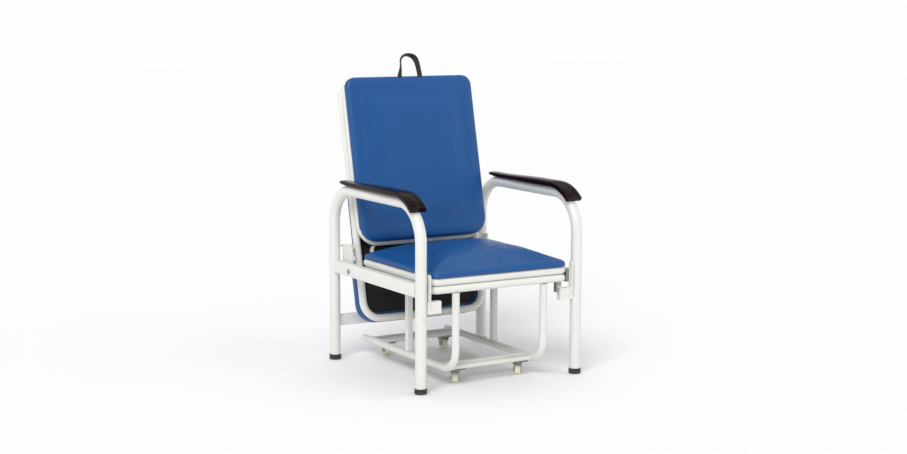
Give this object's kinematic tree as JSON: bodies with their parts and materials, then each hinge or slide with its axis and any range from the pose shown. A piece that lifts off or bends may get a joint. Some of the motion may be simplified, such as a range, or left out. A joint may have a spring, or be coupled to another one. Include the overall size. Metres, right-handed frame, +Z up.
{
  "type": "folding attendant chair-bed",
  "caption": "Armchair with two hinged back panels and a rolling pull-out seat that unfold into one level bed.",
  "frame": {"origin": "middle of the footprint at floor level", "axes": "+X across the chair, -Y the way the sitter faces, +Z up"},
  "size_m": [0.638, 0.6946, 1.0227],
  "materials": {
    "side_arch_left": "off-white powder coat",
    "side_arch_right": "off-white powder coat",
    "side_rail_left": "off-white powder coat",
    "side_rail_right": "off-white powder coat",
    "rear_cross_bar": "off-white powder coat",
    "front_bracket_left": "off-white powder coat",
    "front_bracket_right": "off-white powder coat",
    "rail_bolt_left": "zinc plated",
    "rail_bolt_right": "zinc plated",
    "armrest_left": "dark brown gloss",
    "armrest_right": "dark brown gloss",
    "foot_cap_front_left": "matt black",
    "foot_cap_front_right": "matt black",
    "foot_cap_rear_left": "matt black",
    "foot_cap_rear_right": "matt black",
    "carriage_left": "off-white powder coat",
    "carriage_right": "off-white powder coat",
    "rear_ring": "off-white powder coat",
    "rear_backing": "black lining cloth",
    "rear_pad": "blue vinyl, low sheen",
    "pillow": "blue vinyl, low sheen",
    "pivot_pin_left": "off-white powder coat",
    "pivot_pin_right": "off-white powder coat",
    "top_hinge_rear_left": "off-white powder coat",
    "top_hinge_rear_right": "off-white powder coat",
    "front_ring": "off-white powder coat",
    "front_backing": "black lining cloth",
    "back_cushion": "blue vinyl, low sheen",
    "strap_handle": "black webbing",
    "top_hinge_front_left": "off-white powder coat",
    "top_hinge_front_right": "off-white powder coat",
    "link_plate_left": "off-white powder coat",
    "link_plate_right": "off-white powder coat",
    "seat_ring": "off-white powder coat",
    "seat_cushion": "blue vinyl, low sheen",
    "base_ring": "off-white powder coat",
    "seat_cross_bar": "off-white powder coat",
    "seat_lug_left": "off-white powder coat",
    "seat_lug_right": "off-white powder coat",
    "base_side_tube_left": "off-white powder coat",
    "base_side_tube_right": "off-white powder coat",
    "rear_upright_left": "off-white powder coat",
    "rear_upright_right": "off-white powder coat",
    "front_cross_tube_1": "off-white powder coat",
    "front_cross_tube_2": "off-white powder coat",
    "rear_cross_tube_1": "off-white powder coat",
    "rear_cross_tube_2": "off-white powder coat",
    "caster_plate_front_left": "zinc plated",
    "caster_plate_front_right": "zinc plated",
    "caster_plate_rear_left": "zinc plated",
    "caster_plate_rear_right": "zinc plated",
    "caster_fork_front_left": "zinc plated",
    "caster_wheel_front_left": "cream translucent",
    "caster_fork_front_right": "zinc plated",
    "caster_wheel_front_right": "cream translucent",
    "caster_fork_rear_left": "zinc plated",
    "caster_wheel_rear_left": "cream translucent",
    "caster_fork_rear_right": "zinc plated",
    "caster_wheel_rear_right": "cream translucent"
  },
  "bodies": {
    "chair_frame": {"side_arch_left": "side_arch_left", "side_arch_right": "side_arch_right", "side_rail_left": "side_rail_left", "side_rail_right": "side_rail_right", "rear_cross_bar": "rear_cross_bar", "front_bracket_left": "front_bracket_left", "front_bracket_right": "front_bracket_right", "rail_bolt_left": "rail_bolt_left", "rail_bolt_right": "rail_bolt_right", "armrest_left": "armrest_left", "armrest_right": "armrest_right", "foot_cap_front_left": "foot_cap_front_left", "foot_cap_front_right": "foot_cap_front_right", "foot_cap_rear_left": "foot_cap_rear_left", "foot_cap_rear_right": "foot_cap_rear_right"},
    "carriage_left": {"carriage_left": "carriage_left"},
    "carriage_right": {"carriage_right": "carriage_right"},
    "rear_panel": {"rear_ring": "rear_ring", "rear_backing": "rear_backing", "rear_pad": "rear_pad", "pillow": "pillow", "pivot_pin_left": "pivot_pin_left", "pivot_pin_right": "pivot_pin_right", "top_hinge_rear_left": "top_hinge_rear_left", "top_hinge_rear_right": "top_hinge_rear_right"},
    "front_panel": {"front_ring": "front_ring", "front_backing": "front_backing", "back_cushion": "back_cushion", "strap_handle": "strap_handle", "top_hinge_front_left": "top_hinge_front_left", "top_hinge_front_right": "top_hinge_front_right", "link_plate_left": "link_plate_left", "link_plate_right": "link_plate_right"},
    "seat_unit": {"seat_ring": "seat_ring", "seat_cushion": "seat_cushion", "base_ring": "base_ring", "seat_cross_bar": "seat_cross_bar", "seat_lug_left": "seat_lug_left", "seat_lug_right": "seat_lug_right", "base_side_tube_left": "base_side_tube_left", "base_side_tube_right": "base_side_tube_right", "rear_upright_left": "rear_upright_left", "rear_upright_right": "rear_upright_right", "front_cross_tube_1": "front_cross_tube_1", "front_cross_tube_2": "front_cross_tube_2", "rear_cross_tube_1": "rear_cross_tube_1", "rear_cross_tube_2": "rear_cross_tube_2", "caster_plate_front_left": "caster_plate_front_left", "caster_plate_front_right": "caster_plate_front_right", "caster_plate_rear_left": "caster_plate_rear_left", "caster_plate_rear_right": "caster_plate_rear_right"},
    "caster_fork_front_left": {"caster_fork_front_left": "caster_fork_front_left"},
    "caster_wheel_front_left": {"caster_wheel_front_left": "caster_wheel_front_left"},
    "caster_fork_front_right": {"caster_fork_front_right": "caster_fork_front_right"},
    "caster_wheel_front_right": {"caster_wheel_front_right": "caster_wheel_front_right"},
    "caster_fork_rear_left": {"caster_fork_rear_left": "caster_fork_rear_left"},
    "caster_wheel_rear_left": {"caster_wheel_rear_left": "caster_wheel_rear_left"},
    "caster_fork_rear_right": {"caster_fork_rear_right": "caster_fork_rear_right"},
    "caster_wheel_rear_right": {"caster_wheel_rear_right": "caster_wheel_rear_right"}
  },
  "joints": [
    {"name": "carriage_left_slide", "type": "slide", "parent": "chair_frame", "child": "carriage_left", "axis": [0, -1, 0], "range_m": [0, 0.3]},
    {"name": "carriage_right_slide", "type": "slide", "parent": "chair_frame", "child": "carriage_right", "axis": [0, -1, 0], "range_m": [0, 0.3]},
    {"name": "rear_panel_hinge", "type": "hinge", "parent": "carriage_left", "child": "rear_panel", "pos_m": [0, 0.19866, 0.383], "axis": [1, 0, 0], "range_deg": [0, 102.7]},
    {"name": "top_hinge", "type": "hinge", "parent": "rear_panel", "child": "front_panel", "pos_m": [0, 0.30602, 0.93675], "axis": [-1, 0, 0], "range_deg": [0, 180]},
    {"name": "seat_hinge", "type": "hinge", "parent": "front_panel", "child": "seat_unit", "pos_m": [0, 0.1702, 0.37496], "axis": [1, 0, 0], "range_deg": [0, 77.3]},
    {"name": "caster_swivel_front_left", "type": "hinge", "parent": "seat_unit", "child": "caster_fork_front_left", "pos_m": [-0.1185, -0.2483, 0.04], "axis": [0, 0, 1], "continuous": true},
    {"name": "caster_roll_front_left", "type": "hinge", "parent": "caster_fork_front_left", "child": "caster_wheel_front_left", "pos_m": [-0.1185, -0.2483, 0.018], "axis": [0.8572, -0.515, 0], "continuous": true},
    {"name": "caster_swivel_front_right", "type": "hinge", "parent": "seat_unit", "child": "caster_fork_front_right", "pos_m": [0.1185, -0.2483, 0.04], "axis": [0, 0, 1], "continuous": true},
    {"name": "caster_roll_front_right", "type": "hinge", "parent": "caster_fork_front_right", "child": "caster_wheel_front_right", "pos_m": [0.1185, -0.2483, 0.018], "axis": [0.8572, -0.515, 0], "continuous": true},
    {"name": "caster_swivel_rear_left", "type": "hinge", "parent": "seat_unit", "child": "caster_fork_rear_left", "pos_m": [-0.113, 0.2147, 0.04], "axis": [0, 0, 1], "continuous": true},
    {"name": "caster_roll_rear_left", "type": "hinge", "parent": "caster_fork_rear_left", "child": "caster_wheel_rear_left", "pos_m": [-0.113, 0.2147, 0.018], "axis": [1, 0, 0], "continuous": true},
    {"name": "caster_swivel_rear_right", "type": "hinge", "parent": "seat_unit", "child": "caster_fork_rear_right", "pos_m": [0.113, 0.2147, 0.04], "axis": [0, 0, 1], "continuous": true},
    {"name": "caster_roll_rear_right", "type": "hinge", "parent": "caster_fork_rear_right", "child": "caster_wheel_rear_right", "pos_m": [0.113, 0.2147, 0.018], "axis": [1, 0, 0], "continuous": true}
  ],
  "couplings": [
    {"joint": "carriage_left_slide", "follows": "rear_panel_hinge", "m_per_rad": 0.16737},
    {"joint": "carriage_right_slide", "follows": "rear_panel_hinge", "m_per_rad": 0.16737},
    {"joint": "top_hinge", "follows": "rear_panel_hinge", "ratio": 1.7527},
    {"joint": "seat_hinge", "follows": "rear_panel_hinge", "ratio": 0.75268}
  ]
}
